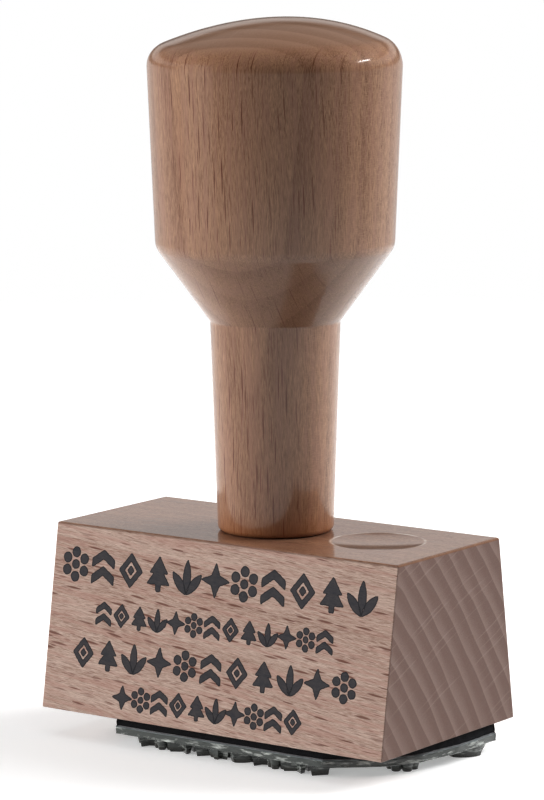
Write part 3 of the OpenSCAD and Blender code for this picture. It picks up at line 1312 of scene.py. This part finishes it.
@dataclass
class FacePrint:
    """The impression on the block's front face, which shows what the stamp prints."""

    marks: OrnamentSet
    rows: tuple[MarkRow, ...] = placed((-0.6, 21.8), (-0.6, 15.1), (-0.3, 9.15), (-0.6, 3.4))
    # The print was stamped by hand and rises a little to the right, about its middle.
    tilt: float = 0.8
    middle: Point3 = (0.0, 13.0, 0.0)
    lift: float = 0.004

    def build(self, block: MountBlock, wood: Beech) -> None:
        """Print the rows on the slanted face.

        Args:
            block: Gives the face its slant.
            wood: The bare beech under the ink.
        """
        low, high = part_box("mount_block")
        up = Vector((0, high.y / MM - block.top_d / 2, (high.z - low.z) / MM)).normalized()
        across = Vector((1, 0, 0))
        out = across.cross(up)
        face = Matrix((across, up, out)).transposed().to_4x4()
        face.translation = Vector((0, low.y / MM, low.z / MM)) + out * self.lift
        middle = Matrix.Translation(self.middle)
        about = middle @ Matrix.Rotation(math.radians(self.tilt), 4, "Z") @ middle.inverted()
        mesh = self.marks.rows(self.rows, MarkForm.INKED, StampInk(wood).build())
        mesh.transform(Matrix.Scale(MM, 4) @ face @ about)
        shade(mesh, 40)
        place_piece("face_print", mesh, Body.STAMP, None, None)


@dataclass(frozen=True)
class Layer:
    """A plain layer of the stack: its piece, its node, where it goes and how it was cut."""

    piece: str
    node: str
    body: Body
    slot: Slot
    finish: PlainFinish
    # How far inside the outline each ring of its side lies, from below, and how far the cut strays.
    insets: tuple[float, ...]
    rough: float
    seed: float


@dataclass
class TrimmedStack:
    """The foam cushion and the printing plate, cut out together by hand with scissors."""

    marks: OrnamentSet
    outline: tuple[Point2, ...] = (
        *((-18.1, -15.2), (18.8, -15.2), (25.6, -9.3), (28.4, -4.2), (29.6, 3.5), (29.7, 13.2)),
        *((-26.9, 13.4), (-27.0, 4.6), (-24.6, 4.1), (-24.5, -6.2), (-18.3, -6.6)),
    )
    rows: tuple[MarkRow, ...] = placed((1.4, 8.7), (1.4, 2.5), (1.4, -3.5), (1.4, -12.6))[::-1]
    pitch: float = 0.45
    # The foam's thickness under a firm press, against its own.
    travel_keep: float = 1.0 / 1.4

    def edge(self, inset: float, rough: float, seed: float) -> list[Point2]:
        """Walk round the outline with a hand's small waver.

        Args:
            inset: How far inside the outline the cut runs.
            rough: How far the cut strays.
            seed: Makes each layer's waver its own.

        Returns:
            The cut's points, in millimetres.
        """
        corners = [Vector(p) for p in self.outline]
        out = []
        for here, there in zip(corners, corners[1:] + corners[:1]):
            along = there - here
            side = Vector((along.y, -along.x)).normalized()
            steps = max(2, round(along.length / self.pitch))
            for k in range(steps):
                spot = here + along * ((k + 0.5) / steps)
                slow = noise.noise(Vector((spot.x * 0.16, spot.y * 0.16, 3.0)))
                fast = noise.noise(Vector((spot.x * 1.1, spot.y * 1.1, seed)))
                shift = -inset + 0.16 * (slow - 0.6) + rough * (fast - 0.5)
                out.append(tuple(spot + side * shift))
        return out

    def slab(self, cuts: list[Point2], rough: float, seed: float, name: str) -> Mesh:
        """Make one layer as a closed slab.

        Args:
            cuts: Height and inset of each ring of its side, from below.
            rough: How far the cut strays.
            seed: Makes the layer's waver its own.
            name: The mesh's name.

        Returns:
            The slab, in metres.
        """
        shape = bmesh.new()
        rings = []
        for number, (z, inset) in enumerate(cuts):
            points = self.edge(inset, rough, seed + 0.35 * number)
            rings.append([shape.verts.new((x, y, z)) for x, y in points])
        wall(shape, rings)
        shape.faces.new(rings[0][::-1])
        shape.faces.new(rings[-1])
        return mesh_from(shape, name)

    def build(self) -> None:
        """Make every layer and dress it."""
        die, stamp = Body.DIE, Body.STAMP
        finishes = {finish: finish.build() for finish in (TAPE, FILM, FOAM)}
        pad = (0.22, 0.16, 0.2, 0.3, 0.34, 0.45)
        for layer in (
            Layer("upper_tape", "cushion_tape_upper", stamp, Slot.TAPE, TAPE, (0.45, 0.5), 0.05, 7.0),
            Layer("foam_pad", "cushion_foam", stamp, Slot.FOAM, FOAM, pad, 0.16, 2.0),
            Layer("lower_tape", "cushion_tape_lower", die, Slot.TAPE, TAPE, (0.16, 0.2), 0.05, 7.0),
            Layer("backing_film", "plate_backing_film", die, Slot.FILM, FILM, (0.0, 0.02), 0.04, 7.0),
        ):
            low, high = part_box(layer.node)
            steps = len(layer.insets) - 1
            heights = [(low.z + (high.z - low.z) * i / steps) / MM for i in range(steps + 1)]
            mesh = self.slab(list(zip(heights, layer.insets)), layer.rough, layer.seed, layer.node)
            shade(mesh, 40)
            mesh.materials.append(finishes[layer.finish])
            piece = place_piece(layer.piece, mesh, layer.body, layer.slot, layer.node)
            if layer.finish is FOAM:
                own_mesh(piece)
        self.relief_die(Photopolymer().build())

    def relief_die(self, polymer: Material) -> None:
        """Make the plate: its floor with a knife-cut side, and the raised marks under it."""
        low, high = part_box("relief_plate")
        floor, top = self.marks.depth, high.z / MM
        thick = top - floor
        levels = (floor, floor + 0.10, floor + thick * 0.35, floor + thick * 0.7, top)
        cuts = list(zip(levels, (0.14, 0.02, 0.06, -0.02, 0.04)))
        plate = self.slab(cuts, 0.05, 7.0, "plate")
        marks = self.marks.rows(self.rows, MarkForm.RAISED, polymer)
        marks.transform(Matrix.Scale(MM, 4) @ Matrix.Translation((0, 0, low.z / MM)))
        settle(shape_of(plate, marks), plate)
        for face in plate.polygons:
            face.material_index = 0
        plate.materials.clear()
        plate.materials.append(polymer)
        shade(plate, 38)
        place_piece("relief_die", plate, Body.DIE, Slot.POLYMER, "relief_plate")


# Studio


@dataclass(frozen=True)
class SoftBox:
    """A soft light round the object.

    Its strength is the brightness that it alone gives to white paper that faces it.
    """

    name: str
    azimuth: float
    elevation: float
    distance: float
    size: Point2
    strength: float
    mirrored: bool

    def watts(self) -> float:
        """The lamp power that gives the wanted brightness."""
        return self.strength * (math.pi * self.distance) ** 2


@dataclass
class Studio:
    """Camera, pale table and soft light."""

    azimuth: float = 35.92
    elevation: float = 8.46
    roll: float = -0.18
    # Camera height is over the block's underside, as its place beside the block is.
    camera_mm: Point3 = (330.7, -460.2, 131.1)
    lens: float = 179.4
    shift: Point2 = (0.0144, -0.0080)
    target: Point3 = (0.0, 0.0, 0.055)
    boxes: tuple[SoftBox, ...] = (
        SoftBox("left_window", -50, 14, 1.8, (1.3, 1.0), 1.04, False),
        SoftBox("right_window", 138, 34, 1.4, (0.9, 0.8), 1.15, False),
        SoftBox("ceiling", 30, 78, 0.9, (0.9, 0.9), 0.35, False),
        SoftBox("small_lamp", 129, 26, 0.9, (0.2, 0.03), 0.10, True),
        SoftBox("left_panel", -40, 3, 1.0, (0.62, 0.8), 0.085, True),
    )
    # The room: elevation and brightness from the white table and wall up to the ceiling.
    wall_azimuth: float = 216.0
    table_glow: float = 0.55
    # The share of that glow on the camera's side, where the room is dim.
    table_front: float = 0.75
    heights: tuple[Point2, ...] = (
        *((0.0, 0.75), (1.8, 0.75), (2.8, 0.05), (7.2, 0.05), (9.0, 0.78), (18.0, 0.75)),
        *((19.5, 0.03), (24.0, 0.03), (28.0, 0.40), (60.0, 0.30), (90.0, 0.20)),
    )
    # Where the table starts and ends to melt into the white, and how much it is lit from below.
    table_r: Point2 = (0.28, 0.55)
    table_lit: float = 0.4
    # Lower than 1 deepens the middle tones.
    gamma: float = 0.8

    def direction(self, azimuth: float, elevation: float) -> Vector:
        """Unit vector from the object to something at an azimuth and elevation in degrees."""
        a, e = math.radians(azimuth), math.radians(elevation)
        return Vector((math.sin(a) * math.cos(e), -math.cos(a) * math.cos(e), math.sin(e)))

    def camera(self) -> None:
        """Stand the camera."""
        data = bpy.data.cameras.new("camera")
        data.sensor_width, data.lens = 36.0, self.lens
        data.shift_x, data.shift_y = self.shift
        data.clip_start, data.clip_end = 0.01, 50.0
        camera = new_object("camera", data)
        back = self.direction(self.azimuth, self.elevation)
        right = Vector((0, 0, 1)).cross(back).normalized()
        up = back.cross(right)
        cos, sin = math.cos(math.radians(self.roll)), math.sin(math.radians(self.roll))
        frame = Matrix((right * cos + up * sin, up * cos - right * sin, back)).transposed().to_4x4()
        frame.translation = Vector(self.camera_mm) * MM + Vector((0, 0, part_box("mount_block")[0].z))
        camera.matrix_world = frame
        bpy.context.scene.camera = camera
        log.info("camera at %s", tuple(round(c, 3) for c in frame.translation))

    def floor(self) -> None:
        """Lay the pale table, which melts into the white surroundings."""
        inner, outer = self.table_r
        shape = bmesh.new()
        bmesh.ops.create_circle(shape, cap_ends=True, segments=96, radius=outer)
        mesh = settle(shape, "floor")
        paint = Paint("white_paper")
        away = paint.add("VectorMath LENGTH", paint.place, out="Value")
        looks = {
            "Base Color": "#e4e4e4",
            "Emission Color": "#ffffff",
            "Emission Strength": self.table_lit,
            "Roughness": 0.9,
            "Specular IOR Level": 0.1,
            "Alpha": paint.add("MapRange", away, outer, inner, interpolation_type="SMOOTHERSTEP"),
        }
        mesh.materials.append(paint.finish(looks))
        floor = new_object("floor", mesh)
        floor.visible_diffuse = False

    def lamps(self) -> None:
        """Hang the soft lights."""
        for box in self.boxes:
            data = bpy.data.lights.new(box.name, "AREA")
            data.shape = "RECTANGLE"
            data.size, data.size_y = box.size
            data.energy = box.watts()
            lamp = new_object(box.name, data)
            way = self.direction(box.azimuth, box.elevation)
            lamp.location = Vector(self.target) + way * box.distance
            lamp.rotation_euler = way.to_track_quat("Z", "Y").to_euler()
            lamp.visible_glossy = box.mirrored

    def room(self) -> None:
        """Light the room: white table and wall, dark ceiling, and plain white to look at."""
        world = bpy.data.worlds.new("room")
        world.use_nodes = True
        tree = Tree(world.node_tree)
        add = tree.add
        way = add("TexCoord", out="Generated")
        height = add("SeparateXYZ", way, out="Z")
        ramp = add("ValToRGB", height)
        stops = ramp.node.color_ramp.elements
        for elevation, _ in self.heights[1:-1]:
            stops.new(math.sin(math.radians(elevation)))
        for stop, (_, glow) in zip(stops, self.heights):
            stop.color = (glow, glow, glow, 1.0)
        behind = tuple(self.direction(self.wall_azimuth, 0.0))
        side = add("VectorMath DOT_PRODUCT", way, behind, out="Value")
        side = add("MapRange", side, -0.1, 0.4, interpolation_type="SMOOTHSTEP")
        wall_glow = add("Math MULTIPLY", ramp, side)
        table = add("MapRange", height, 0.0, -0.03, 0.0, self.table_glow)
        table = add("Math MULTIPLY", table, add("MapRange", side, To_Min=self.table_front))
        lit = add("Background", "#ffffff", add("Math MAXIMUM", wall_glow, table))
        plain = add("Background", "#ffffff", 1.0)
        mixed = add("MixShader", add("LightPath", out="Is Camera Ray"), lit, plain)
        tree.feed(world.node_tree.nodes["World Output"], {"Surface": mixed})
        bpy.context.scene.world = world

    def build(self) -> None:
        """Set up camera, table, light and contrast."""
        self.camera()
        self.floor()
        self.lamps()
        self.room()
        view = bpy.context.scene.view_settings
        view.view_transform, view.look, view.gamma = "Standard", "None", self.gamma


def main() -> None:
    """Build the stamp around its frame."""
    logging.basicConfig(level=logging.INFO, format="%(name)s %(message)s")
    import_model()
    Studio().build()
    TurnedHandle().build()
    WoodScrew().build()
    block = MountBlock()
    bare = block.build()
    marks = OrnamentSet()
    FacePrint(marks).build(block, bare)
    TrimmedStack(marks).build()


if __name__ == "__main__":
    main()
